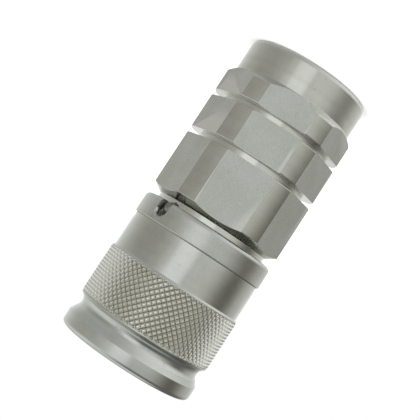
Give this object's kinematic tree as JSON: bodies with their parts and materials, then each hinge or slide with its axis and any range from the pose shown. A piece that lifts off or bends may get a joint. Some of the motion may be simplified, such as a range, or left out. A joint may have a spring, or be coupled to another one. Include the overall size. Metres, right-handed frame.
{
  "type": "liquid quick coupling socket",
  "caption": "Flat-faced non-spill quick coupling socket with a knurled sliding sleeve, ball lock, safety notch, hexagonal body and threaded rear port.",
  "frame": {"origin": "centre of the port face, on which the coupling stands", "axes": "+Z along the coupling's axis, from the threaded port towards the mating end; -Y out of the flat that faces the viewer, with the safety notch 42 degrees round from it towards +X"},
  "size_m": [0.0384, 0.0384, 0.0887],
  "materials": {
    "plated_adapter": "pale zinc-nickel plated steel, blasted flats",
    "plated_body": "pale zinc-nickel plated steel, blasted flats",
    "knurled_steel": "pale zinc-nickel plated steel, turned and knurled",
    "collar_steel": "pale zinc-nickel plated steel, turned",
    "ball_steel": "hardened polished steel",
    "dark_ball_steel": "dark oiled steel",
    "valve_steel": "fine turned steel",
    "inner_steel": "turned steel",
    "spring_steel": "drawn spring wire",
    "seal_rubber": "matt black rubber",
    "backup_plastic": "off-white plastic"
  },
  "bodies": {
    "housing": {"rear_adapter": "plated_adapter", "joint_seal": "seal_rubber", "coupler_body": "plated_body", "locking_balls": "ball_steel", "safety_ball": "dark_ball_steel", "probe_seal": "seal_rubber", "probe_backup_ring": "backup_plastic", "valve_seal": "seal_rubber", "valve_backup_ring": "backup_plastic", "stem_carrier": "inner_steel", "stem_nut": "inner_steel", "valve_stem": "valve_steel", "stem_seal": "seal_rubber", "spring_washer": "inner_steel", "stop_ring": "spring_steel", "sleeve_spring": "spring_steel", "valve_spring": "spring_steel"},
    "sleeve": {"locking_sleeve": "knurled_steel", "sleeve_collar": "collar_steel"},
    "valve": {"valve_sleeve": "valve_steel"}
  },
  "joints": [
    {"name": "sleeve_slide", "type": "slide", "parent": "housing", "child": "sleeve", "axis": [0, 0, -1], "range_m": [0, 0.0011], "stiffness_N_per_m": 12000, "deforming": ["sleeve_spring"]},
    {"name": "valve_slide", "type": "slide", "parent": "housing", "child": "valve", "axis": [0, 0, -1], "range_m": [0, 0.016], "stiffness_N_per_m": 2500, "deforming": ["valve_spring"]}
  ]
}
